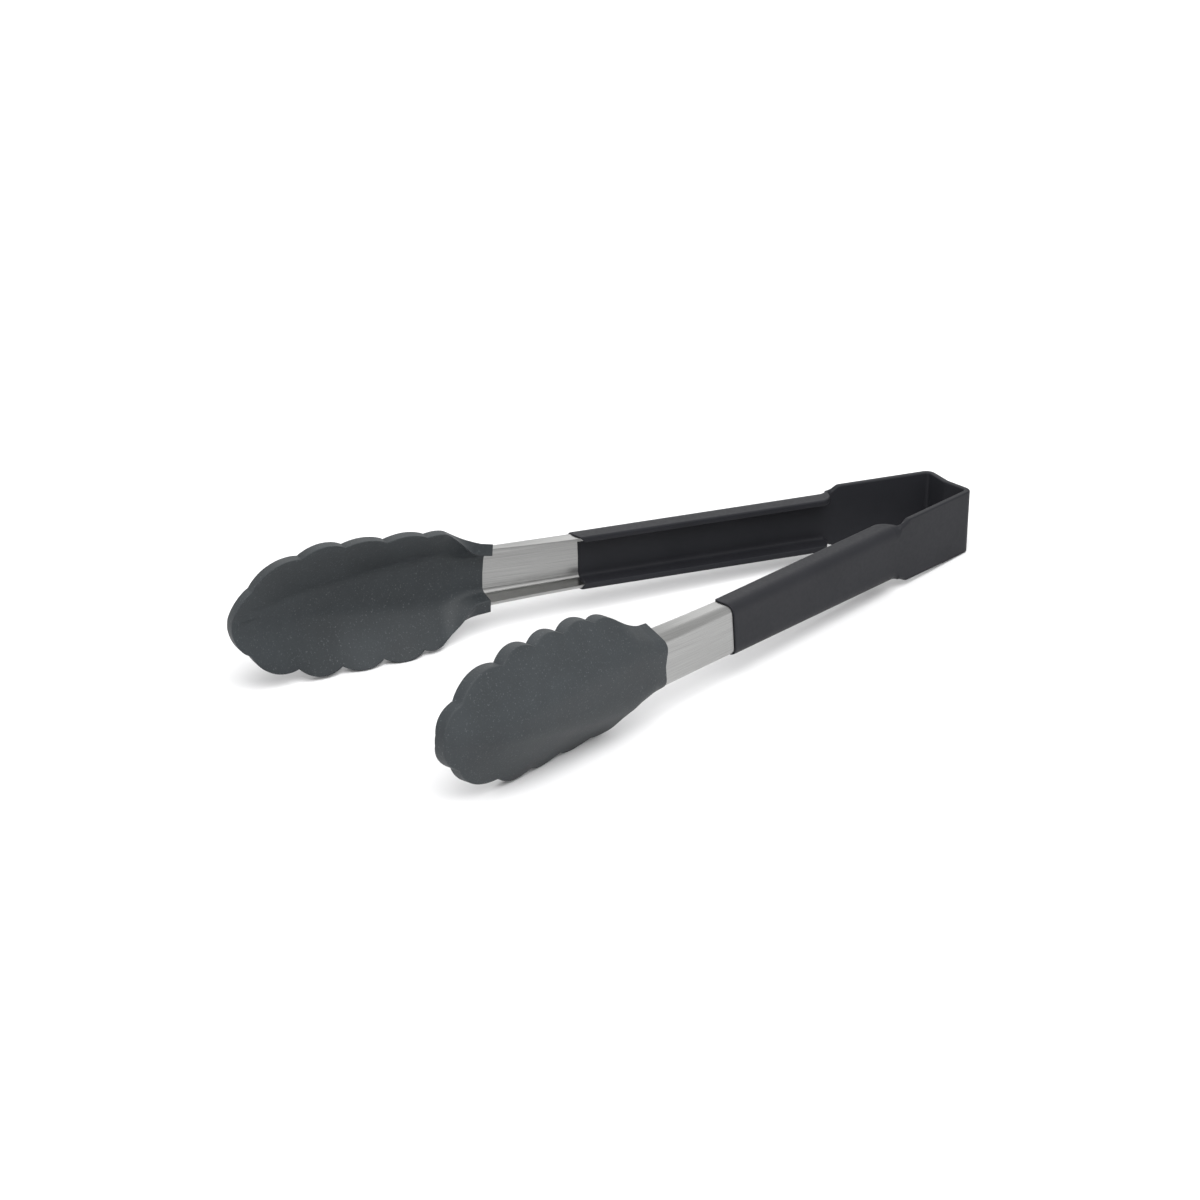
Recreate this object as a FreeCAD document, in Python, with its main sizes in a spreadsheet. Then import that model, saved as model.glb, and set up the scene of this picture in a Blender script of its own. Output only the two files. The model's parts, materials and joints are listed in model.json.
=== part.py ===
import FreeCAD, Part
import os
import Sketcher
from FreeCAD import Placement, Rotation, Vector

# Spring loaded kitchen tongs: one bent steel strip with a soft dip coating on its handles,
# and a scalloped nylon cover moulded over each head.
#
# Tool frame: X runs from the tips (-X) to the spring bow (+X), Y across the two arms, and Z along
# the width of the strip, from the middle of that width.
# Arm frame: X runs from the bow corner out to the tip, Y from the coated outer face in towards the
# other arm, and Z along the width of the strip.

SIZES = {
    # the strip
    "strip_thickness": 0.9,
    "coat_thickness": 0.5,
    # the spring bow
    "back_half_width": 10.0,
    "crease_depth": 1.3,
    "corner_radius": 3.0,
    "crease_radius": 2.0,
    "arm_angle": 12.7,
    "hinge_reach": 12.0,
    # the leaf, the shoulder and the channel of an arm
    "leaf_half_width": 9.6,
    "leaf_reach": 33.2,
    "shoulder_reach": 36.9,
    "channel_half_width": 8.1,
    "bend_radius": 1.5,
    "flange_reach": 37.2,
    "flange_rise": 3.6,
    "flange_depth": 6.6,
    "coat_reach": 121.0,
    "right_coat_slant": 3.4,
    "left_coat_slant": 0.0,
    # the head and its cover
    "cover_reach": 153.5,
    "cover_wall": 1.5,
    "tab_reach": 157.0,
    "tab_wall": 1.4,
    "tab_splay": 0.8,
    "arm_reach": 241.0,
    "blank_half_width": 23.0,
    "blade_end_reach": 238.0,
    "blade_end_half_width": 4.5,
    "tip_notch_back": 6.7,
    "tip_notch_half": 10.35,
    "toe_notch_back": 23.0,
    "toe_notch_half": 17.6,
    "third_notch_back": 37.3,
    "third_notch_half": 19.1,
    "fourth_notch_back": 50.8,
    "fourth_notch_half": 18.7,
    "heel_notch_back": 64.2,
    "heel_notch_half": 18.2,
    "heel_back": 72.3,
    "heel_half": 17.0,
    "flare_back": 84.0,
    "flare_half": 10.9,
    "front_lobe_bulge": 3.1,
    "second_lobe_bulge": 2.45,
    "lobe_bulge": 1.85,
    "heel_lobe_bulge": 1.0,
    "flare_hollow": 0.8,
    # how the tongs lie at rest
    "rest_tilt": 3.229,
    "rest_shift": 118.874,
    "rest_height": 10.066,
}

# Stations of the dished head: reach from the bow corner, half width of its flat middle, how far
# that middle is set in from the coated face, slope of its sides, and half width of the steel blade.
STATIONS = {
    "flare": (165.0, 9.0, -0.8, 46.0, 9.6),
    "heel": (185.0, 7.0, -0.2, 37.0, 15.5),
    "middle": (205.0, 4.5, 0.5, 28.5, 15.5),
    "toe": (220.0, 3.0, 2.2, 25.0, 14.5),
    "front": (235.0, 2.0, 7.5, 16.0, 7.5),
    "tip": (243.0, 1.5, 12.0, 16.0, 4.0),
}
STATION_FIELDS = ("reach", "web", "inset", "slope", "blade")
SKETCH_PLANES = {"top": "XY_Plane", "side": "XZ_Plane", "end": "YZ_Plane"}

doc = FreeCAD.newDocument("kitchen_tongs")


def make_sheet():
    """Write every driving dimension into the spreadsheet, one row each, with its alias."""
    table = doc.addObject("Spreadsheet::Sheet", "Sizes")
    rows = list(SIZES.items())
    for station, values in STATIONS.items():
        rows += [(f"{station}_{field}", value) for field, value in zip(STATION_FIELDS, values)]
    for row, (alias, value) in enumerate(rows, start=1):
        table.set(f"A{row}", alias)
        table.set(f"B{row}", str(value))
        table.setAlias(f"B{row}", alias)
    doc.recompute()
    return table


sheet = make_sheet()


def cell(alias):
    """The expression that reads one cell."""
    return f"Sizes.{alias}"


def value(expression):
    """What an expression comes to, in millimetres."""
    return float(sheet.evalExpression(expression))


def cosine(alias):
    return f"cos({cell(alias)} * 1 deg)"


def sine(alias):
    return f"sin({cell(alias)} * 1 deg)"


def tangent(alias):
    return f"tan({cell(alias)} * 1 deg)"


def new_body(name, placement):
    body = doc.addObject("PartDesign::Body", name)
    body.Label = name
    body.Placement = placement
    return body


def new_sketch(body, name, view, lift="0"):
    """A sketch on one of the body's own planes, moved along the plane's normal by lift."""
    sketch = body.newObject("Sketcher::SketchObject", name)
    role = SKETCH_PLANES[view]
    plane = [item for item in body.Origin.OriginFeatures if item.Role == role][0]
    sketch.AttachmentSupport = [(plane, "")]
    sketch.MapMode = "FlatFace"
    sketch.setExpression("AttachmentOffset.Base.z", lift)
    return sketch


def draw(sketch, corners):
    """Draw a closed outline. Each corner is (x, y) or (x, y, bulge), as expressions, where bulge is
    the height of the arc that leads to the next corner, on the right hand of its travel."""
    first = sketch.GeometryCount
    count = len(corners)
    spots = [Vector(value(corner[0]), value(corner[1]), 0) for corner in corners]
    starts, ends = [], []
    for index, corner in enumerate(corners):
        here, there = spots[index], spots[(index + 1) % count]
        if len(corner) == 2:
            sketch.addGeometry(Part.LineSegment(here, there), False)
            starts.append(1)
            ends.append(2)
            continue
        along = there - here
        across = Vector(along.y, -along.x, 0).normalize() * value(corner[2])
        middle = (here + there) * 0.5 + across
        forward = value(corner[2]) > 0
        arc = Part.Arc(here, middle, there) if forward else Part.Arc(there, middle, here)
        sketch.addGeometry(arc, False)
        starts.append(1 if forward else 2)
        ends.append(2 if forward else 1)
    for index in range(count):
        after = (index + 1) % count
        sketch.addConstraint(
            Sketcher.Constraint(
                "Coincident", first + index, ends[index], first + after, starts[after]
            )
        )
    for index, corner in enumerate(corners):
        edge, end = first + index, starts[index]
        for kind, expression in zip(("DistanceX", "DistanceY"), corner):
            size = value(expression)
            rule = sketch.addConstraint(Sketcher.Constraint(kind, -1, 1, edge, end, size))
            sketch.setExpression(f"Constraints[{rule}]", expression)
        if len(corner) == 3:
            other = corners[(index + 1) % count]
            chord = f"(({other[0]}) - ({corner[0]}))^2 + (({other[1]}) - ({corner[1]}))^2"
            radius = f"(({chord}) / 4 + ({corner[2]})^2) / (2 * abs({corner[2]}))"
            rule = sketch.addConstraint(Sketcher.Constraint("Radius", edge, value(radius)))
            sketch.setExpression(f"Constraints[{rule}]", radius)


def extrude(body, kind, name, sketch, depth, symmetric=True, reverse=False):
    """A Pad or Pocket of a sketch, to a depth given as an expression."""
    feature = body.newObject(f"PartDesign::{kind}", name)
    feature.Profile = sketch
    feature.setExpression("Length", depth)
    feature.SideType = "Symmetric" if symmetric else "One side"
    feature.Reversed = reverse
    doc.recompute()
    return feature


def round_edges(body, name, places, radius, axis):
    """Fillet the straight edges of the tip feature that run along axis through the given places."""
    base = body.Tip
    chosen = []
    for number, edge in enumerate(base.Shape.Edges, start=1):
        if edge.Curve.TypeId != "Part::GeomLine":
            continue
        if abs(edge.Curve.Direction.dot(axis)) < 0.9999:
            continue
        middle = edge.CenterOfMass
        for place in places:
            gap = middle - place
            if (gap - axis * gap.dot(axis)).Length < 0.02:
                chosen.append(f"Edge{number}")
    fillet = body.newObject("PartDesign::Fillet", name)
    fillet.Base = (base, chosen)
    fillet.setExpression("Radius", radius)
    doc.recompute()
    return fillet


# Spring bow ------------------------------------------------------------------------------------
# The back is two flat halves that meet in a shallow crease pointing in between the arms. A face of
# the strip is a fixed distance in from the coated outer face, and the outlines below are in terms
# of that inset.


def back_slope():
    return f"({cell('crease_depth')} / {cell('back_half_width')})"


def back_stretch():
    """One over the cosine of the slope of the back's halves."""
    return f"sqrt(1 + {back_slope()}^2)"


def bow_corner(inset):
    """Where the back and the leaf meet, on the +Y side."""
    spread = f"({back_slope()} / {cosine('arm_angle')} + {back_stretch()})"
    reach = f"-({inset}) * {spread} / (1 + {tangent('arm_angle')} * {back_slope()})"
    height = (
        f"{cell('back_half_width')} - ({reach}) * {tangent('arm_angle')}"
        f" - ({inset}) / {cosine('arm_angle')}"
    )
    return reach, height


def bow_crease(inset):
    return f"-{cell('crease_depth')} - ({inset}) * {back_stretch()}", "0"


def bow_end(inset):
    """The end of the bow, where the arm takes over, on the +Y side."""
    reach = cell("hinge_reach")
    return (
        f"-{reach} * {cosine('arm_angle')} - ({inset}) * {sine('arm_angle')}",
        f"{cell('back_half_width')} + {reach} * {sine('arm_angle')}"
        f" - ({inset}) * {cosine('arm_angle')}",
    )


def mirrored(corner):
    return corner[0], f"-({corner[1]})"


def strip_bow(name, placement, outer, inner, half_width):
    """The bow between two faces of the strip, with its bends and its crease rounded."""
    body = new_body(name, placement)
    sketch = new_sketch(body, name + "_outline", "top")
    corners = [bow_end(outer), bow_corner(outer), bow_crease(outer)]
    corners += [mirrored(bow_corner(outer)), mirrored(bow_end(outer))]
    corners += [mirrored(bow_end(inner)), mirrored(bow_corner(inner)), bow_crease(inner)]
    corners += [bow_corner(inner), bow_end(inner)]
    draw(sketch, corners)
    extrude(body, "Pad", name + "_strip", sketch, f"2 * ({half_width})")
    for face, inset in (("outer", outer), ("inner", inner)):
        reach, height = (value(part) for part in bow_corner(inset))
        bends = [Vector(reach, height, 0), Vector(reach, -height, 0)]
        radius = f"{cell('corner_radius')} - ({inset})"
        round_edges(body, f"{name}_{face}_bends", bends, radius, Vector(0, 0, 1))
        crease = [Vector(value(bow_crease(inset)[0]), 0, 0)]
        radius = f"{cell('crease_radius')} + ({inset})"
        round_edges(body, f"{name}_{face}_crease", crease, radius, Vector(0, 0, 1))
    return body


# Arms ------------------------------------------------------------------------------------------
# A flat leaf leaves the bow, narrows at the shoulder, and goes on as a channel whose two flanges
# point in towards the other arm.


def arm_blank(name, placement, skin, end_corners, end_reach):
    """The leaf and channel of an arm, grown by a skin on every side. end_corners close the flange
    outline at its far end, and end_reach is how far the web goes."""
    body = new_body(name, placement)
    outer = f"({cell('coat_thickness')} - ({skin}))"
    inner = f"({cell('coat_thickness')} + {cell('strip_thickness')} + ({skin}))"
    leaf = f"({cell('leaf_half_width')} + ({skin}))"
    channel = f"({cell('channel_half_width')} + ({skin}))"

    web = new_sketch(body, name + "_web_outline", "side", f"-({outer})")
    side = [(cell("leaf_reach"), leaf), (cell("shoulder_reach"), channel), (end_reach, channel)]
    below = [(reach, f"-({height})") for reach, height in side]
    start = cell("hinge_reach")
    draw(web, [(start, leaf), (start, f"-{leaf}")] + below + side[::-1])
    extrude(body, "Pad", name + "_web", web, f"{inner} - {outer}", symmetric=False, reverse=True)

    flanges = new_sketch(body, name + "_flange_outline", "top")
    root = f"{cell('flange_reach')} - ({skin})"
    edge = f"({cell('coat_thickness')} + {cell('flange_depth')} + ({skin}))"
    rise = cell("flange_rise")
    draw(
        flanges,
        [(root, outer)]
        + end_corners
        + [(f"{root} + {rise}", edge, f"{rise} * (1 - sqrt(0.5))"), (root, f"{edge} - {rise}")],
    )
    extrude(body, "Pad", name + "_flanges", flanges, f"2 * {channel}")

    hollow = new_sketch(body, name + "_hollow_outline", "top")
    near, far = f"{root} - 1", f"{cell('arm_reach')}"
    deep = f"{edge} + 1"
    draw(hollow, [(near, inner), (far, inner), (far, deep), (near, deep)])
    width = f"2 * ({channel} - {cell('strip_thickness')} - 2 * ({skin}))"
    extrude(body, "Pocket", name + "_hollow", hollow, width)

    along = Vector(1, 0, 0)
    bends = [Vector(0, value(outer), sign * value(channel)) for sign in (1, -1)]
    round_edges(body, name + "_bends", bends, f"{cell('bend_radius')} + ({skin})", along)
    return body


def section_corners(skin_outer, skin_inner, station, half_width):
    """One station's section of the dished head, between two faces set in from its outer face."""
    web, inset = cell(f"{station}_web"), cell(f"{station}_inset")
    climb = f"({half_width} - {web}) * {tangent(station + '_slope')}"
    half = [
        (f"{inset} + {skin_outer}", web),
        (f"{inset} + {skin_outer} + {climb}", half_width),
        (f"{inset} + {skin_inner} + {climb}", half_width),
        (f"{inset} + {skin_inner}", web),
    ]
    return half + [(depth, f"-({height})") for depth, height in half[::-1]]


def channel_corners(outer, inner, half_width, wall, depth, splay="0"):
    """A channel section: its web lies between two insets, and its flanges end at depth, further
    apart than at the web by a splay on each side."""
    half = [
        (outer, half_width),
        (depth, f"{half_width} + {splay}"),
        (depth, f"{half_width} + {splay} - {wall}"),
        (inner, f"{half_width} - {wall}"),
    ]
    return half + [(reach, f"-({height})") for reach, height in half[::-1]]


def blade_sections():
    """The steel inside the head: (reach, section) from the neck to just short of the tip."""
    outer = cell("coat_thickness")
    inner = f"{outer} + {cell('strip_thickness')}"
    depth = f"{outer} + {cell('flange_depth')}"
    channel = (outer, inner, cell("channel_half_width"), cell("strip_thickness"), depth)
    sections = [
        (cell("cover_reach"), channel_corners(*channel)),
        (cell("tab_reach"), channel_corners(*channel, cell("tab_splay"))),
    ]
    skin_outer = cell("cover_wall")
    skin_inner = f"{skin_outer} + {cell('strip_thickness')}"
    for station in list(STATIONS)[:-1]:
        corners = section_corners(skin_outer, skin_inner, station, cell(f"{station}_blade"))
        sections.append((cell(f"{station}_reach"), corners))
    part_way = (
        f"(({cell('blade_end_reach')} - {cell('front_reach')})"
        f" / ({cell('tip_reach')} - {cell('front_reach')}))"
    )

    def between(field):
        front, tip = cell(f"front_{field}"), cell(f"tip_{field}")
        return f"({front} + ({tip} - {front}) * {part_way})"

    half_width = cell("blade_end_half_width")
    climb = f"({half_width} - {between('web')}) * {tangent('front_slope')}"
    half = [
        (f"{between('inset')} + {skin_outer}", between("web")),
        (f"{between('inset')} + {skin_outer} + {climb}", half_width),
        (f"{between('inset')} + {skin_inner} + {climb}", half_width),
        (f"{between('inset')} + {skin_inner}", between("web")),
    ]
    corners = half + [(depth, f"-({height})") for depth, height in half[::-1]]
    sections.append((cell("blade_end_reach"), corners))
    return sections


def cover_sections():
    """The outside of the head cover: (reach, section) from the neck to just past the tip."""
    wall, strip = cell("cover_wall"), cell("strip_thickness")
    outer = f"{cell('coat_thickness')} - {wall}"
    inner = f"{cell('coat_thickness')} + {strip} + {wall}"
    depth = f"{cell('coat_thickness')} + {cell('flange_depth')} + {cell('tab_wall')}"
    half_width = f"{cell('channel_half_width')} + {wall}"
    thickness = f"({strip} + 2 * {wall})"
    neck = channel_corners(outer, inner, half_width, thickness, depth, cell("tab_splay"))
    sections = [(cell("cover_reach"), neck), (cell("tab_reach"), neck)]
    for station in STATIONS:
        corners = section_corners("0", thickness, station, cell("blank_half_width"))
        sections.append((cell(f"{station}_reach"), corners))
    return sections


def loft(body, kind, name, sections):
    """A ruled loft through sections that stand across the arm."""
    sketches = []
    for number, (reach, corners) in enumerate(sections):
        sketch = new_sketch(body, f"{name}_section_{number}", "end", reach)
        draw(sketch, corners)
        sketches.append(sketch)
    feature = body.newObject(f"PartDesign::{kind}", name)
    feature.Profile = sketches[0]
    feature.Sections = sketches[1:]
    feature.Ruled = True
    doc.recompute()
    return feature


def scallop_outline():
    """The scalloped edge, from the neck along the -Z lobes, round the tip and back along the +Z ones.
    Each side is a list of its corners from the tip to the neck, with the bulges of the arcs between
    them: lobes outwards, and the flare that joins the last lobe to the neck inwards."""
    tip = cell("arm_reach")
    corners = ["tip_notch", "toe_notch", "third_notch", "fourth_notch", "heel_notch", "heel", "flare"]
    lobe = cell("lobe_bulge")
    bulges = [cell("front_lobe_bulge"), cell("second_lobe_bulge"), lobe, lobe]
    bulges.append(cell("heel_lobe_bulge"))
    bulges.append(f"-{cell('flare_hollow')}")
    spots = [(f"{tip} - {cell(name + '_back')}", cell(name + "_half")) for name in corners]
    upper = [spot + (bulge,) for spot, bulge in zip(spots, bulges)] + [spots[-1]]
    tip_bulge = cell("tip_notch_back")
    lower = [
        (reach, f"-({half})", bulge)
        for (reach, half), bulge in zip(spots[::-1], bulges[::-1] + [tip_bulge])
    ]
    return lower + upper


def arm_steel(side, placement):
    """The strip of one arm: leaf, channel and, inside the cover, the dished blade."""
    name = f"{side}_arm_steel"
    web = cell("coat_thickness")
    reach = cell("cover_reach")
    end_corners = [(reach, web), (reach, f"{web} + {cell('flange_depth')}")]
    body = arm_blank(name, placement, "0", end_corners, reach)
    loft(body, "AdditiveLoft", name + "_blade", blade_sections())
    return body


def handle_coating(side, placement, steel):
    """The dip coating of one arm: a skin on every face of the strip, as far as the handle goes."""
    name = f"{side}_handle_coating"
    skin = cell("coat_thickness")
    long_side = f"{cell('coat_reach')} + {cell(side + '_coat_slant')}"
    edge = f"(2 * {skin} + {cell('flange_depth')})"
    blank = arm_blank(
        name + "_blank", placement, skin, [(long_side, "0"), (cell("coat_reach"), edge)],
        cell("coat_reach"),
    )
    if value(cell(side + "_coat_slant")) > 0:
        lip = new_sketch(blank, name + "_lip_outline", "top")
        inner = f"(2 * {skin} + {cell('strip_thickness')})"
        share = f"(1 - {inner} / {edge})"
        lip_end = f"{cell('coat_reach')} + {cell(side + '_coat_slant')} * {share}"
        start = f"{cell('coat_reach')} - 1"
        draw(lip, [(start, "0"), (long_side, "0"), (lip_end, inner), (start, inner)])
        width = f"2 * ({cell('channel_half_width')} - {cell('bend_radius')})"
        extrude(blank, "Pad", name + "_lip", lip, width)
    return subtract(name, blank, steel)


def head_cover(side, placement):
    """The moulded cover of one head: the dished blank, trimmed to its lobes, with the steel's slot."""
    name = f"{side}_head_cover"
    body = new_body(name, placement)
    blank = loft(body, "AdditiveLoft", name + "_blank", cover_sections())
    before = blank.Shape.Volume

    trim = new_sketch(body, name + "_outline", "side")
    neck, beyond = f"{cell('tab_reach')} - 1", f"{cell('tip_reach')} + 5"
    narrow, wide = cell("flare_half"), f"({cell('blank_half_width')} + 5)"
    frame = [(neck, narrow), (neck, wide), (beyond, wide)]
    frame += [(reach, f"-{half}") for reach, half in frame[::-1]]
    draw(trim, scallop_outline() + frame)
    pocket = extrude(body, "Pocket", name + "_trim", trim, f"4 * {cell('blank_half_width')}")
    if pocket.Shape.Volume > 0.95 * before:
        raise RuntimeError(name + ": the outline trims nothing")

    loft(body, "SubtractiveLoft", name + "_slot", blade_sections())
    return body


def subtract(name, base, tool):
    """One solid less another, as an object of its own."""
    cut = doc.addObject("Part::Cut", name)
    cut.Label = name
    cut.Base = base
    cut.Tool = tool
    doc.recompute()
    return cut


# Assembly --------------------------------------------------------------------------------------
# The tongs lie on one side: the lower edge of the bow and the lower lobes of both heads touch the
# floor, so the tool frame is tilted a little about Y.

rest = Placement(
    Vector(value(cell("rest_shift")), 0, value(cell("rest_height"))),
    Rotation(Vector(0, 1, 0), value(cell("rest_tilt"))),
)
corner_offset = value(cell("back_half_width"))
turn = value(cell("arm_angle"))
right_frame = rest * Placement(
    Vector(0, corner_offset, 0), Rotation(Vector(0, 0, 1), 180 - turn)
)
turned_over = Placement(Vector(0, 0, 0), Rotation(Vector(1, 0, 0), 180))
left_frame = rest * turned_over * Placement(
    Vector(0, corner_offset, 0), Rotation(Vector(0, 0, 1), 180 - turn)
)

coat, strip = cell("coat_thickness"), cell("strip_thickness")
spring_bow = strip_bow("spring_bow", rest, coat, f"{coat} + {strip}", cell("leaf_half_width"))
bow_blank = strip_bow(
    "bow_coating_blank", rest, "0", f"2 * {coat} + {strip}", f"{cell('leaf_half_width')} + {coat}"
)
parts = [spring_bow, subtract("bow_coating", bow_blank, spring_bow)]
for side, frame in (("left", left_frame), ("right", right_frame)):
    steel = arm_steel(side, frame)
    parts += [steel, handle_coating(side, frame, steel), head_cover(side, frame)]
doc.recompute()

# Check and export ------------------------------------------------------------------------------

for item in doc.Objects:
    if {"Invalid", "Error"} & set(item.State):
        raise RuntimeError(f"{item.Label} failed: {item.State}")
os.makedirs("parts", exist_ok=True)
for part in parts:
    shape = part.Shape
    if shape.isNull() or not shape.isValid() or len(shape.Solids) != 1:
        raise RuntimeError(f"{part.Label} is not one sound solid")
    shape.exportStep(f"parts/{part.Label}.step")
    print(f"{part.Label}: {shape.Volume:.0f} mm3, {shape.BoundBox}")
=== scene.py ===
import json
import math

import bmesh
import bpy
import numpy as np
from mathutils import Matrix, Vector


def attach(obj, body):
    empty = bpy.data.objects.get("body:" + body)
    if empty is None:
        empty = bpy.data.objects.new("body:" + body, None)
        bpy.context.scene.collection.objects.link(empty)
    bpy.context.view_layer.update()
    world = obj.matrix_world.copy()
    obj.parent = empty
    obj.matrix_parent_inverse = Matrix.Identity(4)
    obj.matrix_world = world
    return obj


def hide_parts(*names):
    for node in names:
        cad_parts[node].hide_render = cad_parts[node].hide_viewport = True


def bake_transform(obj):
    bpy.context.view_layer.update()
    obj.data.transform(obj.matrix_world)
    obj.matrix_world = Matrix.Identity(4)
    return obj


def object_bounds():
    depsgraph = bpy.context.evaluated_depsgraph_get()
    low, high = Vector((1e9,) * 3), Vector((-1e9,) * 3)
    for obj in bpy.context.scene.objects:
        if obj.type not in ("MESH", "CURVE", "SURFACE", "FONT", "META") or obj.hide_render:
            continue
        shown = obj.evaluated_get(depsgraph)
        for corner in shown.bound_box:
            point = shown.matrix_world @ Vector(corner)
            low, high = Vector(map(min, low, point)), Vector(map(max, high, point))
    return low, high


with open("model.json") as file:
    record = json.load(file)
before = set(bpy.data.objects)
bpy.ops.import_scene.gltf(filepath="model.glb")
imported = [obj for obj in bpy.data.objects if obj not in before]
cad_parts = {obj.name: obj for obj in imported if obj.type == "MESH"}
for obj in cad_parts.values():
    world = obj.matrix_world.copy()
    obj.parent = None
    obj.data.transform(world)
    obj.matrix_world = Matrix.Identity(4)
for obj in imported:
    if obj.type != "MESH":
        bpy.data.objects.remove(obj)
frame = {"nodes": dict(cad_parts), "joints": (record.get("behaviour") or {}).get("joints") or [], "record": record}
cadBox = [list(corner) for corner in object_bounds()]
print("frame loaded")

# Shapes are worked out in millimetres in an arm's own axes: x along the arm from the corner of the
# bow, y in from its coated outer face towards the other arm, and z across the width of the strip.
perMetre = 1000           # millimetres

strip = {
    "steel": 0.9,             # thickness of the strip
    "coat": 0.5,              # thickness of the dip coating on each face
    "hingeReach": 12.0,       # from the corner to the line that the arm swings about
    "leafHalf": 9.6,          # half width of the flat leaf, bare
    "channelHalf": 8.1,       # half width of the channel, bare
    "shoulder": (32.4, 38.0), # where the leaf narrows to the channel
    "opening": [(122, 0.0), (140, 0.55), (153, 1.1)],    # (reach, how far each flange leans out)
    "bend": 2.9,              # how far the channel's rounded corners reach along each face
    "leastBend": 0.6,         # and the least that they reach along the inner face
    "lip": 1.3,               # how far in from the leaf's edge its corners stand
    "runSteps": (10, 8, 3, 8, 10),          # points on the straight runs of half a section
    "bendSteps": (7, 4, 4, 7),              # and on the bends between them
    "shoulderRows": (32.0, 43.0, 0.25),     # where the sections stand close together, and how close
}


def unit(vector):
    vector = np.asarray(vector, float)
    return vector / np.linalg.norm(vector)


# The axes and the corner of one arm: z is its hinge's axis, y is opposite to the way its grip faces,
# x is y cross z, and the corner lies the hinge's reach back from the hinge, on the coated face.
def findArm(side):
    joint = next(item for item in frame["joints"] if item["child"] == side + "_arm")
    grip = next(item for item in frame["record"]["mounts"] if item["name"] == side + "_grip")
    z = unit(joint["axis"])
    y = -unit(grip["axis"])
    x = unit(np.cross(y, z))
    hinge = np.array(joint["pos_m"]) * perMetre
    corner = hinge - strip["hingeReach"] * x - (strip["coat"] + strip["steel"] / 2) * y
    return {"side": side, "corner": corner, "axes": np.stack([x, y, z])}


arms = {side: findArm(side) for side in ("left", "right")}
middleOfBack = (arms["left"]["corner"] + arms["right"]["corner"]) / 2


# Arm millimetres to row-frame metres: the corner plus each axis times its length, over 1000 per metre.
def toFrame(arm, points):
    return (arm["corner"] + np.asarray(points, float) @ arm["axes"]) / perMetre


# Arrays or numbers for x, y and z as one array of points.
def pointsOf(x, y, z):
    return np.stack(np.broadcast_arrays(x, y, z), axis=-1).astype(float)


meshing = {
    "cutLimit": 0.49,         # the most of a run that a rounded corner takes
    "leastRun": 1e-9,         # a run's length is taken as at least this, so that it can be divided by
    "mergeDistance": 2e-6,    # in metres: points nearer than this become one
    "sharpAngle": 38.0,       # in degrees: edges that turn further than this are shaded sharp
}


# A polyline per row, with its inner corners rounded. Each run is straight between the cuts at its two
# ends, and each bend is the quadratic curve (1-t)^2 * before + 2t(1-t) * corner + t^2 * after between
# points one cut away from the corner. A cut is held to the limit's share of either run.
def roundedLines(corners, cuts, runSteps, bendSteps):
    runs = np.diff(corners, axis=1)
    lengths = np.maximum(np.linalg.norm(runs, axis=2), meshing["leastRun"])
    heads = runs / lengths[..., None]
    limit = meshing["cutLimit"] * np.minimum(lengths[:, :-1], lengths[:, 1:])
    cut = np.zeros(corners.shape[:2])
    cut[:, 1:-1] = np.minimum(np.broadcast_to(cuts, limit.shape), limit)
    stretches = []
    for k in range(runs.shape[1]):
        start = corners[:, k] + heads[:, k] * cut[:, k, None]
        stop = corners[:, k + 1] - heads[:, k] * cut[:, k + 1, None]
        t = np.linspace(0, 1, runSteps[k], endpoint=False)[None, :, None]
        stretches.append(start[:, None] + (stop - start)[:, None] * t)
        if k + 1 < runs.shape[1]:
            after = (corners[:, k + 1] + heads[:, k + 1] * cut[:, k + 1, None])[:, None]
            t = np.linspace(0, 1, bendSteps[k], endpoint=False)[None, :, None]
            corner = corners[:, k + 1][:, None]
            stretches.append((1 - t)**2 * stop[:, None] + 2 * t * (1 - t) * corner + t**2 * after)
    stretches.append(corners[:, -1:])
    return np.concatenate(stretches, axis=1)


# A closed loop per row from its upper half: the half, then the same points with z turned over, back
# from the last but one to the second.
def bothHalves(half):
    return np.concatenate([half, half[:, -2:0:-1] * np.array([1, 1, -1])], axis=1)


# Quads (row, column), (row, column + 1), (row + 1, column + 1), (row + 1, column), with the last
# column joined to the first.
def gridFaces(rows, columns):
    row, column = np.meshgrid(np.arange(rows - 1), np.arange(columns), indexing="ij")
    after = (column + 1) % columns
    quads = np.stack([row * columns + column, row * columns + after, (row + 1) * columns + after,
                      (row + 1) * columns + column], axis=-1)
    return quads.reshape(-1, 4)


# Quads that close one loop of a wall: points j and j + 1 of the outer face with the points as far
# from the loop's turn on the inner face, and the same on the lower half.
def capFaces(row, columns):
    turn = columns // 2
    j = np.arange(turn // 2)
    upper = np.stack([j, j + 1, turn - j - 1, turn - j], axis=-1)
    return np.concatenate([upper, (columns - upper) % columns]) + row * columns


# Lengths in millimetres as UVs: u is the distance along the piece, v the sum of steps round a loop.
def lengthsOf(loops, along):
    steps = np.linalg.norm(np.diff(loops, axis=1), axis=2)
    around = np.pad(np.cumsum(steps, axis=1), ((0, 0), (1, 0)))
    return np.stack(np.broadcast_arrays(along[:, None], around), axis=-1)


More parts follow.
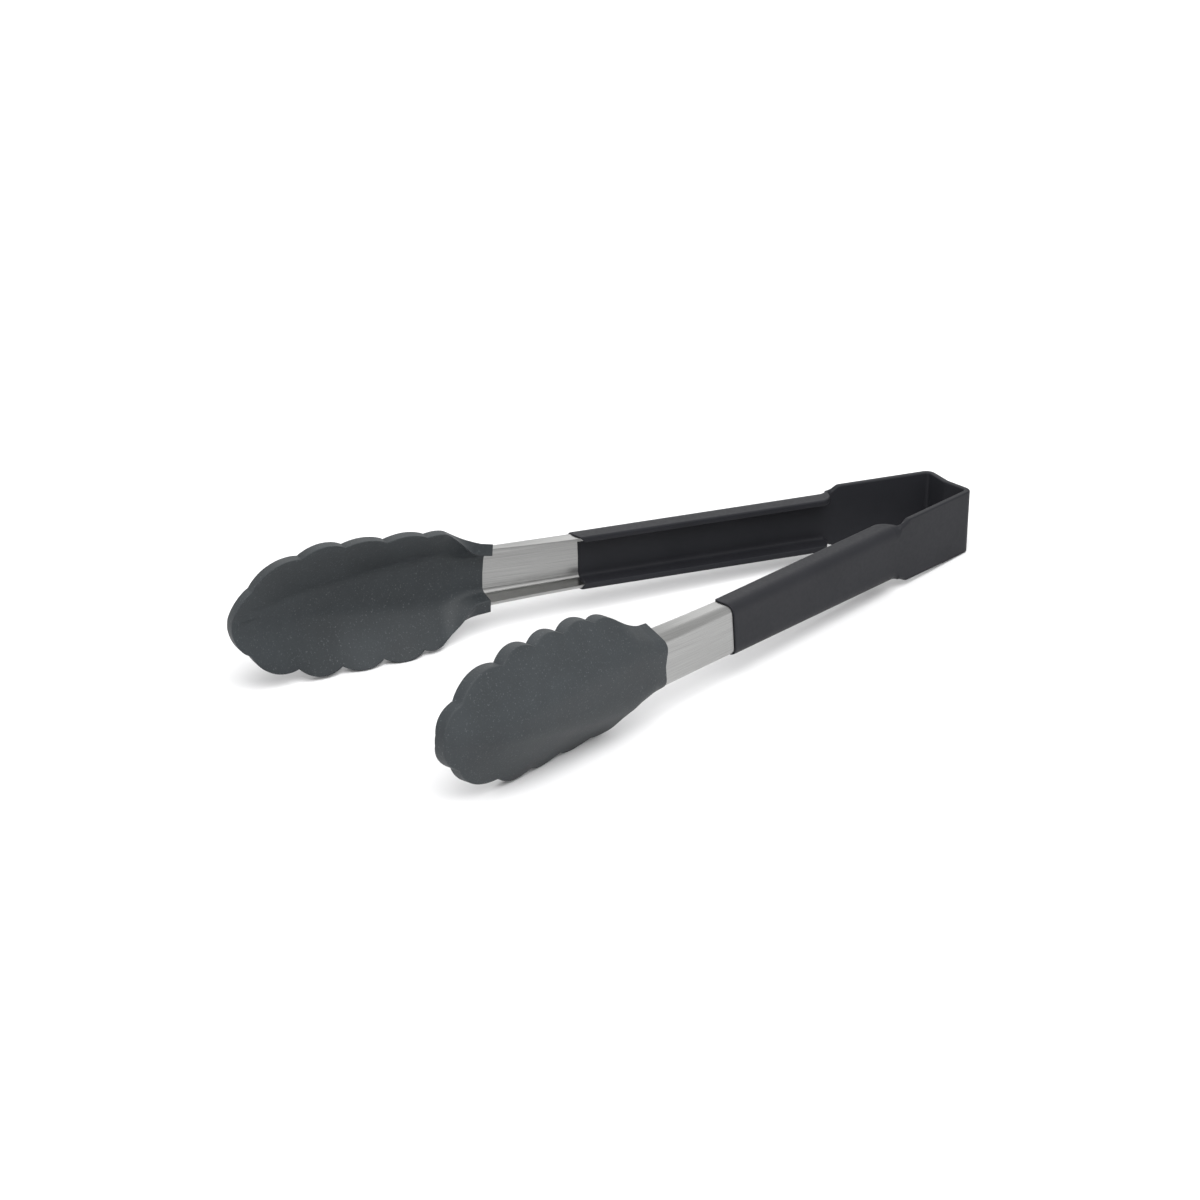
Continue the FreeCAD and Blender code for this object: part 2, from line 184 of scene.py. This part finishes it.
# A closed mesh from rows of loops. Points that lie together are merged, so that a row that has shrunk
# to a line or a point closes it, and all faces are turned outwards.
def makePiece(name, arm, loops, along, closedRows, material):
    rows, columns = loops.shape[:2]
    faces = [gridFaces(rows, columns)] + [capFaces(row % rows, columns) for row in closedRows]
    faces = np.concatenate(faces)
    mesh = bpy.data.meshes.new(name)
    mesh.from_pydata(toFrame(arm, loops.reshape(-1, 3)).tolist(), [], faces.tolist())
    lengths = lengthsOf(loops, along).reshape(-1, 2)[faces.ravel()]
    mesh.uv_layers.new(name="lengths").data.foreach_set("uv", lengths.astype(np.float32).ravel())
    work = bmesh.new()
    work.from_mesh(mesh)
    bmesh.ops.remove_doubles(work, verts=work.verts, dist=meshing["mergeDistance"])
    bmesh.ops.recalc_face_normals(work, faces=work.faces)
    work.to_mesh(mesh)
    work.free()
    mesh.polygons.foreach_set("use_smooth", np.ones(len(mesh.polygons), bool))
    mesh.set_sharp_from_angle(angle=math.radians(meshing["sharpAngle"]))
    mesh.materials.append(material)
    piece = bpy.data.objects.new(name, mesh)
    bpy.context.scene.collection.objects.link(piece)
    return piece


# 0 below low, 1 above high, and 3t^2 - 2t^3 between them.
def smoothStep(x, low, high):
    t = np.clip((x - low) / (high - low), 0, 1)
    return t * t * (3 - 2 * t)


# A smooth curve through (place, value) stations: cubic pieces whose slope at a station is the
# weighted harmonic mean of the slopes beside it, or 0 at a turn, so that none overshoots.
def through(x, stations):
    places, values = np.array(stations, float).T
    gaps = np.diff(places)
    slopes = np.diff(values) / gaps
    before, after = slopes[:-1], slopes[1:]
    rising = before * after > 0
    near, far = 2 * gaps[1:] + gaps[:-1], gaps[1:] + 2 * gaps[:-1]
    mean = (near + far) / (near / np.where(rising, before, 1) + far / np.where(rising, after, 1))
    tilts = np.concatenate([slopes[:1], np.where(rising, mean, 0), slopes[-1:]])
    x = np.clip(x, places[0], places[-1])
    k = np.clip(np.searchsorted(places, x, side="right") - 1, 0, len(gaps) - 1)
    t = (x - places[k]) / gaps[k]
    rise = values[k + 1] - values[k]
    ease = t * (1 - t) * gaps[k]
    return (values[k] + rise * t * t * (3 - 2 * t)
            + ease * (tilts[k] * (1 - t) - tilts[k + 1] * t))


# The upper half of the strip's section at each reach, grown by skin on every face: out along the
# outer face, round the bend, down the flange to its depth, round its edge and back along the inner
# face. On the leaf the flange is only the edge of the flat strip; across the shoulder each corner
# moves from one place to the other by a smooth step. inset draws every face in where a coating ends,
# and the edges of the flanges stand further apart than their roots by the opening.
def stripSection(reach, skin, depth, inset, edgeCut):
    wall = strip["steel"] + 2 * skin - 2 * inset
    outer = strip["coat"] - skin + inset
    inner = outer + wall
    bent = smoothStep(reach, *strip["shoulder"])
    leaf = strip["leafHalf"] + skin - inset
    channel = strip["channelHalf"] + skin - inset
    edge = channel + through(reach, strip["opening"])
    depth = depth - inset

    def moved(onLeaf, onChannel):
        return onLeaf + (onChannel - onLeaf) * bent

    leafCorner = leaf - strip["lip"]
    corners = np.stack([
        pointsOf(reach, outer, 0),
        pointsOf(reach, outer, moved(leafCorner, channel)),
        pointsOf(reach, moved(outer, depth), moved(leaf, edge)),
        pointsOf(reach, moved(inner, depth), moved(leaf, edge - wall)),
        pointsOf(reach, inner, moved(leafCorner, channel - wall)),
        pointsOf(reach, inner, 0),
    ], axis=1)
    bend = strip["bend"] + skin
    innerBend = max(bend - strip["steel"] - 2 * skin, strip["leastBend"])
    cuts = np.array([bend, edgeCut, edgeCut, innerBend])
    return roundedLines(corners, cuts, strip["runSteps"], strip["bendSteps"])


bow = {
    "cornerRadius": 3.0,      # of the coated outer face
    "creaseRadius": 2.0,      # of the same face at the crease in the middle of the back
    "creaseDepth": 1.3,
    "pathSteps": 3000,
    "rowSpacing": 0.35,
}

coating = {
    "end": 121.0,             # where the coating ends on the arm
    # (share of the way round from the outer middle to the inner, how much further it goes there)
    "further": {"left": [(0, -1.2), (0.35, -1.2), (0.5, -2.0), (1, -2.0)],
                "right": [(0, 3.4), (0.3, 3.4), (0.5, 1.6), (0.65, 0.3), (1, 0.0)]},
    "upper": {"left": 1.2, "right": 0.5},   # and how much further at the upper edge
    "furtherRun": 12.0,
    "flange": (37.0, 4.6, 7.6),             # where it starts, how long it rises, how deep it gets
    "thinEdge": 2.2,          # depth of the flange where it starts
    "edgeCut": 0.5,
    "endRounding": (0.4, 0.3),              # how long the rounded end is, and how far it draws in
    "flex": (1.0, 25.0),      # the stretch of the leaf that bends
    "rowSpacing": 2.0,        # of the sections on the leaf and the channel
    # how far the last sections stand before the end
    "endRows": [1.5, 1.0, 0.7, 0.4, 0.3, 0.2, 0.12, 0.06, 0.02, 0.0],
}


# The coated outer face seen from above, from the middle of the back to the end of the coating. The
# heading turns evenly through the crease and the corner and is held between them, and a place is the
# sum of (cos, sin) of the heading times each step. The crease takes radius * tan(turn) off the panel
# of the back, and the corner radius * tan(turn / 2) off the panel and the leaf.
def coatPath(arm):
    fromMiddle = arm["corner"] - middleOfBack
    backward = unit(np.cross([0, 0, 1], fromMiddle))
    backward = backward * math.copysign(1, backward @ middleOfBack)
    crease = arm["axes"] @ (middleOfBack - bow["creaseDepth"] * backward - arm["corner"])
    side = arm["axes"] @ fromMiddle
    startHeading = math.atan2(side[1], side[0])
    panelHeading = math.atan2(-crease[1], -crease[0])
    creaseTurn, cornerTurn = abs(panelHeading - startHeading), abs(panelHeading)
    cornerCut = bow["cornerRadius"] * math.tan(cornerTurn / 2)
    creaseCut = bow["creaseRadius"] * math.tan(creaseTurn)
    panel = math.hypot(crease[0], crease[1]) - creaseCut - cornerCut
    stops = np.cumsum([0, bow["creaseRadius"] * creaseTurn, panel,
                       bow["cornerRadius"] * cornerTurn])
    turns = [startHeading, panelHeading, panelHeading, 0.0]
    s = np.append(np.linspace(0, stops[-1], bow["pathSteps"]),
                  stops[-1] + coating["end"] - cornerCut)
    heading = np.interp((s[1:] + s[:-1]) / 2, stops, turns)
    x = np.append(0, np.cumsum(np.cos(heading) * np.diff(s)))
    y = np.append(0, np.cumsum(np.sin(heading) * np.diff(s)))
    return s, x - x[-1] + coating["end"], y - y[-1], np.interp(s, stops, turns), stops[-1]


# The coating of half the bow and one arm: the grown section carried along the path, at right angles
# to its heading. The flange comes up along a quarter circle, the end draws in along another, and the
# end goes on by further(share of the way round) + upper * z / channel half width.
def coatLoops(arm):
    s, pathX, pathY, pathHeading, bowEnd = coatPath(arm)
    end = coating["end"]
    shift = s[-1] - end
    first, last, close = strip["shoulderRows"]
    wide = coating["rowSpacing"]
    place = np.concatenate([
        np.arange(0, bowEnd + 1, bow["rowSpacing"]), np.arange(bowEnd + 1, shift + first, wide),
        np.arange(shift + first, shift + last, close), np.arange(shift + last, s[-1] - wide, wide),
        s[-1] - np.array(coating["endRows"]),
    ])
    heading = np.interp(place, s, pathHeading)[:, None]
    reach = place - shift
    flangeStart, flangeRise, flangeDepth = coating["flange"]
    rise = np.clip((reach - flangeStart) / flangeRise, 0, 1)
    depth = coating["thinEdge"] + (flangeDepth - coating["thinEdge"]) * np.sqrt(1 - (1 - rise)**2)
    length, drawnIn = coating["endRounding"]
    near = np.clip(1 - (end - reach) / length, 0, 1)
    inset = drawnIn * (1 - np.sqrt(1 - near**2))
    loops = bothHalves(stripSection(reach, strip["coat"], depth, inset, coating["edgeCut"]))
    inward = loops[..., 1]
    column, turn = np.arange(loops.shape[1]), loops.shape[1] / 2
    share = np.minimum(column, 2 * turn - column) / turn
    across = loops[..., 2] * math.copysign(1, arm["axes"][2, 2]) / strip["channelHalf"]
    further = np.interp(share, *np.transpose(coating["further"][arm["side"]]))
    ramp = smoothStep(reach, end - coating["furtherRun"], end)[:, None]
    onward = (further + coating["upper"][arm["side"]] * across) * ramp
    x = np.interp(place, s, pathX)[:, None] - np.sin(heading) * inward + onward
    y = np.interp(place, s, pathY)[:, None] + np.cos(heading) * inward
    return pointsOf(x, y, loops[..., 2]), place


steelArm = {
    "start": 12.12,           # clear of the bow's own strip when the arm has swung in
    "end": 156.0,
    # (reach, depth of the flange) where it comes up at the shoulder
    "depth": [(37.4, 1.8), (38.2, 4.4), (39.8, 6.3), (42.0, 7.1), (160, 7.1)],
    "edgeCut": 0.16,
    "hiddenRows": (4.0, 3.0), # spacing of the sections on the leaf and on the coated channel
    "bareRows": (118.0, 0.5), # where the bare steel starts, and the spacing there
}


# The bare strip of one arm, from the hinge line to inside the cover.
def steelLoops():
    first, last, close = strip["shoulderRows"]
    onLeaf, onChannel = steelArm["hiddenRows"]
    bare, onBare = steelArm["bareRows"]
    reach = np.concatenate([
        np.arange(steelArm["start"], first, onLeaf), np.arange(first, last, close),
        np.arange(last, bare, onChannel), np.arange(bare, steelArm["end"], onBare),
        [steelArm["end"]],
    ])
    depth = through(reach, steelArm["depth"])
    return bothHalves(stripSection(reach, 0.0, depth, 0.0, steelArm["edgeCut"])), reach


cover = {
    "tip": 241.0,
    "neck": 153.0,
    "wall": 3.9,              # two walls and the steel between them
    "neckHalf": 11.1,
    "flare": (157.0, 11.7),   # where the head starts to widen, and its half width there
    "flareHollow": 0.5,
    "tipRadius": 11.35,
    # notches of the scalloped edge: how far back from the tip, and the half width there
    "notches": [(6.7, 10.35), (23.0, 17.6), (37.3, 19.1), (50.8, 18.7), (64.2, 18.2),
                (72.3, 17.0)],
    "bulges": [3.1, 2.45, 1.85, 1.85, 1.0], # how far each lobe between them stands out
    "lobeRows": 16,
    "tipRows": 24,
    "neckSpacing": 0.5,
    # (reach, value) along the head: half width of the flat middle, how far that middle is set in,
    # and the slope up from it to the edge in degrees
    "web": [(153, 9.7), (158, 9.5), (165, 8.9), (185, 7.0), (205, 4.5), (220, 3.0), (235, 2.0),
            (243, 1.5)],
    "setIn": [(153, -1.0), (158, -1.0), (165, -0.8), (185, -0.2), (205, 0.5), (213, 1.1),
              (220, 2.4), (228, 5.3), (235, 8.1), (241, 10.9), (243, 11.8)],
    "slope": [(158, 46.0), (165, 43.0), (169, 41.0), (177, 40.0), (185, 37.0), (190, 35.5),
              (205, 29.0), (220, 25.0), (235, 17.0), (243, 17.0)],
    "neckDepth": [(153, 8.9), (156, 8.6), (160, 7.8), (164, 7.4), (169, 7.3)],
    "neckBlend": (162.0, 172.0),            # where the neck's own depth gives way to the slope
    # which way the edge faces: 0 towards the other arm, 90 out to the side
    "edgeTurn": [(153, 0.0), (157, 6.0), (161, 42.0), (165, 76.0), (168, 90.0)],
    "innerWeb": [(153, 5.8), (158, 5.8), (165, 6.6), (170, 7.0), (185, 6.2), (205, 4.0),
                 (220, 2.9), (235, 2.0), (243, 1.5)],
    "outerCut": [(153, 2.6), (158, 4.0), (165, 7.0), (185, 9.0), (205, 9.0), (243, 9.0)],
    "innerCut": [(153, 1.6), (158, 1.8), (165, 2.4), (172, 4.0), (185, 8.0), (205, 9.0),
                 (243, 9.0)],
    "flatShare": 0.6,         # the most of a ray that is flat
    "leastHalf": 1e-6,        # a half width is taken as at least this where it is divided by
    "edgeCut": 0.38,
    # where the end at the neck lies on each line of the section, from the outer middle to the inner
    "ends": [154.2, 153.2, 153.3, 153.4, 153.9, 154.1],
    "endsJoin": (166.0, 1.5),               # where those have died away, and how steeply
    # the steel's slot: how far in it goes, its depth, its gap, and the step back at its mouth
    "sleeve": (156.5, 7.1, 0.02, 0.05),
    "sleeveLengths": [6.0, 2.0],            # of its two rows before the neck, for the UVs
    "runSteps": (8, 10, 5, 10, 8),
    "bendSteps": (9, 4, 4, 9),
}


# Points from start up to stop on the arc that stands out by bulge to the left of its travel, or to
# the right if bulge is negative: radius = (chord^2 / 4 + bulge^2) / (2 * bulge), swing = 2 asin(chord
# / (2 radius)), turned evenly about the centre.
def arcPoints(start, stop, bulge, count):
    start, stop = np.array(start, float), np.array(stop, float)
    chord = stop - start
    length = np.linalg.norm(chord)
    left = np.array([-chord[1], chord[0]]) / length
    radius = (length**2 / 4 + bulge**2) / (2 * bulge)
    centre = (start + stop) / 2 + left * (bulge - radius)
    swing = 2 * math.asin(length / (2 * radius))
    turn = -np.linspace(0, swing, count, endpoint=False)
    x, y = start - centre
    return centre + np.stack([np.cos(turn) * x - np.sin(turn) * y,
                              np.sin(turn) * x + np.cos(turn) * y], axis=1)


# The upper edge of the head from the neck to the tip, as reach and half width, and the reach on the
# middle line that each point's ray starts from. The rays stand square to the middle line up to the
# last lobe, lean across it, and fan out round the tip's centre.
def scallopedEdge():
    tip, rows, radius = cover["tip"], cover["lobeRows"], cover["tipRadius"]
    spots = [(tip - back, half) for back, half in reversed(cover["notches"])]
    flareReach, flareHalf = cover["flare"]
    neck = np.arange(cover["neck"], flareReach, cover["neckSpacing"])
    spread = (neck - cover["neck"]) / (flareReach - cover["neck"])
    edge = [np.stack([neck, cover["neckHalf"] + (flareHalf - cover["neckHalf"]) * spread], axis=1),
            arcPoints(cover["flare"], spots[0], -cover["flareHollow"], 2 * rows)]
    for start, stop, bulge in zip(spots[:-1], spots[1:], reversed(cover["bulges"])):
        edge.append(arcPoints(start, stop, bulge, rows))
    centre = tip - radius
    turn = np.linspace(math.asin(spots[-1][1] / radius), 0, cover["tipRows"])
    edge.append(np.stack([centre + radius * np.cos(turn), radius * np.sin(turn)], axis=1))
    reach, half = np.concatenate(edge).T
    lobe = spots[-2][0]
    lean = lobe + (reach - lobe) * (centre - lobe) / (spots[-1][0] - lobe)
    return reach, half, np.minimum(np.where(reach > lobe, lean, reach), centre)


# The upper half of the cover's section on each ray: flat from the middle line to the web's half
# width, up to the edge at slope * (half - web), across the wall's edge, and back the same way one
# wall further in. At the neck the climb is the neck's own depth instead, each line of the section is
# moved on to its own end, and the set-in of the middle is added to each point at its own reach.
def coverSection():
    reach, half, spine = scallopedEdge()
    wall = cover["wall"]
    web = through(reach, cover["web"])
    slope = np.tan(np.radians(through(reach, cover["slope"])))
    blend = smoothStep(reach, *cover["neckBlend"])
    climb = (through(reach, cover["neckDepth"]) * (1 - blend)
             + slope * np.maximum(half - web, 0) * blend)
    turn = np.radians(through(reach, cover["edgeTurn"]))
    innerHalf = half - wall * np.cos(turn)

    def onRay(width, depth):
        share = np.minimum(width / np.maximum(half, cover["leastHalf"]), cover["flatShare"])
        return pointsOf(spine + (reach - spine) * share, depth, half * share)

    corners = np.stack([
        pointsOf(spine, 0, 0),
        onRay(web, 0),
        pointsOf(reach, climb, half),
        pointsOf(reach, climb + wall * np.sin(turn), innerHalf),
        onRay(np.minimum(through(reach, cover["innerWeb"]), innerHalf), wall),
        pointsOf(spine, wall, 0),
    ], axis=1)
    join, steepness = cover["endsJoin"]
    weight = np.clip((join - reach) / (join - cover["neck"]), 0, 1)[:, None]**steepness
    corners[..., 0] += (np.array(cover["ends"]) - cover["neck"]) * weight
    cuts = np.stack([through(reach, cover["outerCut"]), np.full(len(reach), cover["edgeCut"]),
                     np.full(len(reach), cover["edgeCut"]), through(reach, cover["innerCut"])],
                    axis=1)
    section = roundedLines(corners, cuts, cover["runSteps"], cover["bendSteps"])
    section[..., 1] += through(section[..., 0], cover["setIn"])
    return section, reach


# The slot that the steel goes into, as two more rows: the steel's section grown by the gap, at the
# bottom of the slot and at the cover's end.
def sleeveSection(endRow):
    bottom, depth, gap, mouth = cover["sleeve"]
    outer, inner = strip["coat"] - gap, strip["coat"] + strip["steel"] + gap
    channel = strip["channelHalf"] + gap
    edge = channel + strip["opening"][-1][1]
    wall = inner - outer
    corners = pointsOf(0, [outer, outer, depth + gap, depth + gap, inner, inner],
                       [0, channel, edge, edge - wall, channel - wall, 0])[None]
    cuts = np.array([strip["bend"], steelArm["edgeCut"], steelArm["edgeCut"],
                     strip["bend"] - wall])
    ring = roundedLines(corners, cuts, cover["runSteps"], cover["bendSteps"])
    rows = np.repeat(ring, 2, axis=0)
    rows[0, :, 0] = bottom
    rows[1, :, 0] = endRow[:, 0] + mouth
    return rows


# The whole cover of one head: the rows of the slot, then the rows of the section out to the tip.
def coverLoops():
    section, reach = coverSection()
    rows = np.concatenate([sleeveSection(section[0]), section])
    along = np.concatenate([cover["neck"] - np.array(cover["sleeveLengths"]), reach])
    return bothHalves(rows), along


usualNoise = (0.3, 0.7)   # what nearly all values of a noise lie between


# Short ways to add and wire the nodes of one material.
class Look:
    def __init__(self, name):
        self.material = bpy.data.materials.new(name)
        self.material.use_nodes = True
        self.tree = self.material.node_tree
        self.tree.nodes.clear()
        self.shader = self.tree.nodes.new("ShaderNodeBsdfPrincipled")
        output = self.tree.nodes.new("ShaderNodeOutputMaterial")
        self.wire(self.shader.outputs["BSDF"], output.inputs["Surface"])

    def wire(self, source, target):
        self.tree.links.new(source, target)

    def feed(self, source, socket):
        self.wire(source, self.shader.inputs[socket])

    def fix(self, socket, value):
        self.shader.inputs[socket].default_value = value

    # a coordinate times scale
    def place(self, kind, scale=(1, 1, 1)):
        source = self.tree.nodes.new("ShaderNodeTexCoord")
        mapping = self.tree.nodes.new("ShaderNodeMapping")
        mapping.inputs["Scale"].default_value = scale
        self.wire(source.outputs[kind], mapping.inputs["Vector"])
        return mapping.outputs["Vector"]

    def noise(self, place, scale, detail, roughness):
        node = self.tree.nodes.new("ShaderNodeTexNoise")
        node.inputs["Scale"].default_value = scale
        node.inputs["Detail"].default_value = detail
        node.inputs["Roughness"].default_value = roughness
        self.wire(place, node.inputs["Vector"])
        return node.outputs["Fac"]

    # value moved in a straight line from low..high to first..last, and held there
    def spread(self, value, low, high, first, last):
        node = self.tree.nodes.new("ShaderNodeMapRange")
        for index, number in enumerate((low, high, first, last), start=1):
            node.inputs[index].default_value = number
        self.wire(value, node.inputs[0])
        return node.outputs[0]

    # a noise's usual values moved to first..last in the same way
    def vary(self, value, first, last):
        return self.spread(value, *usualNoise, first, last)

    # first where share is 0 and second where it is 1: a colour mix has its share at input 0, its
    # colours at 6 and 7, and its result at output 2
    def mix(self, share, first, second):
        node = self.tree.nodes.new("ShaderNodeMix")
        node.data_type = "RGBA"
        self.wire(share, node.inputs[0])
        for socket, colour in ((6, first), (7, second)):
            if isinstance(colour, tuple):
                node.inputs[socket].default_value = (*colour, 1)
            else:
                self.wire(colour, node.inputs[socket])
        return node.outputs[2]

    def bump(self, height, strength, distance, below=None):
        node = self.tree.nodes.new("ShaderNodeBump")
        node.inputs["Strength"].default_value = strength
        node.inputs["Distance"].default_value = distance
        self.wire(height, node.inputs["Height"])
        if below is not None:
            self.wire(below, node.inputs["Normal"])
        return node.outputs["Normal"]


nylon = {
    "dark": (0.0165, 0.0200, 0.0225),
    "light": (0.0255, 0.0305, 0.034),
    "fleck": (0.105, 0.115, 0.12),
    "fleckFrom": (0.60, 0.76, 0.5),         # grain at which flecks start and are full, their share
    "roughness": (0.52, 0.62),
    "specular": 0.36,
    # noises: scale per metre, detail, roughness
    "clouds": (55, 3, 0.5),
    "grain": (1900, 2, 0.6),
    "waves": (140, 2, 0.5),
    # bumps: strength, and depth in metres
    "grainBump": (0.35, 0.00012),
    "waveBump": (0.12, 0.0006),
}


# Matte moulded nylon: slow clouding, a fine eroded grain, and pale flecks on its crests.
def nylonLook():
    look = Look("head nylon")
    place = look.place("Object")
    clouds = look.noise(place, *nylon["clouds"])
    grain = look.noise(place, *nylon["grain"])
    low, high, share = nylon["fleckFrom"]
    flecks = look.spread(grain, low, high, 0, share)
    base = look.mix(look.vary(clouds, 0, 1), nylon["dark"], nylon["light"])
    look.feed(look.mix(flecks, base, nylon["fleck"]), "Base Color")
    look.feed(look.vary(clouds, *nylon["roughness"]), "Roughness")
    waves = look.bump(look.noise(place, *nylon["waves"]), *nylon["waveBump"])
    look.feed(look.bump(grain, *nylon["grainBump"], waves), "Normal")
    look.fix("Specular IOR Level", nylon["specular"])
    return look.material


dip = {
    "dark": (0.0150, 0.0155, 0.0183),
    "light": (0.0185, 0.0190, 0.0222),
    "roughness": (0.42, 0.50),
    "specular": 0.1,
    # noises: scale per metre, detail, roughness
    "ripple": (45, 2, 0.5),
    "peel": (900, 2, 0.5),
    # bumps: strength, and depth in metres
    "rippleBump": (0.1, 0.0008),
    "peelBump": (0.1, 0.0001),
}


# Dip coating: near black and satin, with a slow ripple and a fine orange peel.
def coatingLook():
    look = Look("grip coating")
    place = look.place("Object")
    ripple = look.noise(place, *dip["ripple"])
    peel = look.noise(place, *dip["peel"])
    look.feed(look.mix(look.vary(ripple, 0, 1), dip["dark"], dip["light"]), "Base Color")
    look.feed(look.vary(peel, *dip["roughness"]), "Roughness")
    look.fix("Specular IOR Level", dip["specular"])
    rippleBump = look.bump(ripple, *dip["rippleBump"])
    look.feed(look.bump(peel, *dip["peelBump"], rippleBump), "Normal")
    return look.material


steel = {
    "dark": (0.25, 0.25, 0.245),
    "light": (0.39, 0.39, 0.385),
    "roughness": (0.27, 0.33),
    "lines": (0.03, 6.0, 1.0),     # per millimetre, along the arm and across it
    "springLines": (40, 40, 900),  # per metre, on the bow
    "fineness": 3.1,               # how much finer the second set of lines is
    # noises: scale, detail, roughness
    "lineNoise": (1, 4, 0.7),
    "fineNoise": (1, 3, 0.6),
    # bumps: strength, and depth in metres
    "lineBump": (0.12, 0.00002),
    "fineBump": (0.12, 0.00001),
}


# Brushed stainless steel: noise drawn out along the strip for the lines, finer ones over them, and a
# slow change of gloss from one line to the next.
def steelLook(name, kind, scale):
    look = Look(name)
    lines = look.noise(look.place(kind, scale), *steel["lineNoise"])
    finer = tuple(steel["fineness"] * part for part in scale)
    fine = look.noise(look.place(kind, finer), *steel["fineNoise"])
    look.feed(look.mix(look.vary(lines, 0, 1), steel["dark"], steel["light"]), "Base Color")
    look.feed(look.vary(fine, *steel["roughness"]), "Roughness")
    lineBump = look.bump(lines, *steel["lineBump"])
    look.feed(look.bump(fine, *steel["fineBump"], lineBump), "Normal")
    look.fix("Metallic", 1.0)
    return look.material


looks = {
    "head": nylonLook(),
    "grip": coatingLook(),
    "strip": steelLook("brushed steel", "UV", steel["lines"]),
    "spring": steelLook("spring steel", "Object", steel["springLines"]),
}
print("materials made")

for side, arm in arms.items():
    body = side + "_arm"

    head = makePiece(side + "_cover", arm, *coverLoops(), [0], looks["head"])
    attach(head, body)
    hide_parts(side + "_head_cover")

    bare = makePiece(side + "_strip", arm, *steelLoops(), [0, -1], looks["strip"])
    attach(bare, body)
    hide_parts(side + "_arm_steel")

    skin = makePiece(side + "_coating", arm, *coatLoops(arm), [0, -1], looks["grip"])
    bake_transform(skin)
    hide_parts(side + "_handle_coating", "bow_coating")
    print(side, "arm made")

springMesh = frame["nodes"]["spring_bow"].data
springMesh.materials.clear()
springMesh.materials.append(looks["spring"])

studio = {
    "floorSize": 6.0,
    "floorColour": (0.80, 0.80, 0.805),
    "floorRoughness": 0.9,
    "floorSpecular": 0.1,
    "world": 0.88,
    # name: place, size, power
    "lights": {
        "overhead": ((-0.35, -0.75, 1.5), 1.6, 34.0),
        "front": ((-1.3, -1.2, 0.8), 1.0, 1.5),
        "back": ((0.7, 1.4, 1.1), 1.2, 6.0),
    },
}
middle = (Vector(cadBox[0]) + Vector(cadBox[1])) / 2


def addFloor():
    half, low = studio["floorSize"] / 2, cadBox[0][2]
    corners = [(-half, -half, low), (half, -half, low), (half, half, low), (-half, half, low)]
    mesh = bpy.data.meshes.new("floor")
    mesh.from_pydata(corners, [], [(0, 1, 2, 3)])
    look = Look("pale floor")
    look.fix("Base Color", (*studio["floorColour"], 1))
    look.fix("Roughness", studio["floorRoughness"])
    look.fix("Specular IOR Level", studio["floorSpecular"])
    mesh.materials.append(look.material)
    floor = bpy.data.objects.new("floor", mesh)
    bpy.context.scene.collection.objects.link(floor)


def addLights():
    for name, (place, size, power) in studio["lights"].items():
        data = bpy.data.lights.new(name, "AREA")
        data.size = size
        data.energy = power
        light = bpy.data.objects.new(name, data)
        light.location = place
        light.rotation_euler = (middle - light.location).to_track_quat("-Z", "Y").to_euler()
        bpy.context.scene.collection.objects.link(light)
    world = bpy.data.worlds.new("studio")
    world.use_nodes = True
    background = world.node_tree.nodes["Background"]
    background.inputs["Color"].default_value = (1, 1, 1, 1)
    background.inputs["Strength"].default_value = studio["world"]
    bpy.context.scene.world = world


view = {
    "heading": 51.338,        # degrees from +X, the way the camera looks
    "down": 24.902,           # degrees below level
    "roll": -0.465,
    "distance": 2.0891,
    "lens": 210.0,
    "sensor": 36.0,
    "farthest": 20.0,
    "aim": (-0.01202, 0.0095, -0.00639),    # from the middle of the object's box
}


# forward = (cos down cos heading, cos down sin heading, -sin down), and the camera stands the
# distance back from its aim.
def addCamera():
    heading, down = math.radians(view["heading"]), math.radians(view["down"])
    forward = Vector((math.cos(down) * math.cos(heading), math.cos(down) * math.sin(heading),
                      -math.sin(down)))
    right = forward.cross(Vector((0, 0, 1))).normalized()
    axes = Matrix((right, right.cross(forward), -forward)).transposed()
    data = bpy.data.cameras.new("camera")
    data.lens = view["lens"]
    data.sensor_width = view["sensor"]
    data.clip_end = view["farthest"]
    camera = bpy.data.objects.new("camera", data)
    place = middle + Vector(view["aim"]) - forward * view["distance"]
    roll = Matrix.Rotation(math.radians(view["roll"]), 3, "Z")
    camera.matrix_world = Matrix.Translation(place) @ (axes @ roll).to_4x4()
    bpy.context.scene.collection.objects.link(camera)
    bpy.context.scene.camera = camera


addFloor()
addLights()
addCamera()
bpy.context.scene.view_settings.view_transform = "Standard"
print("studio made")
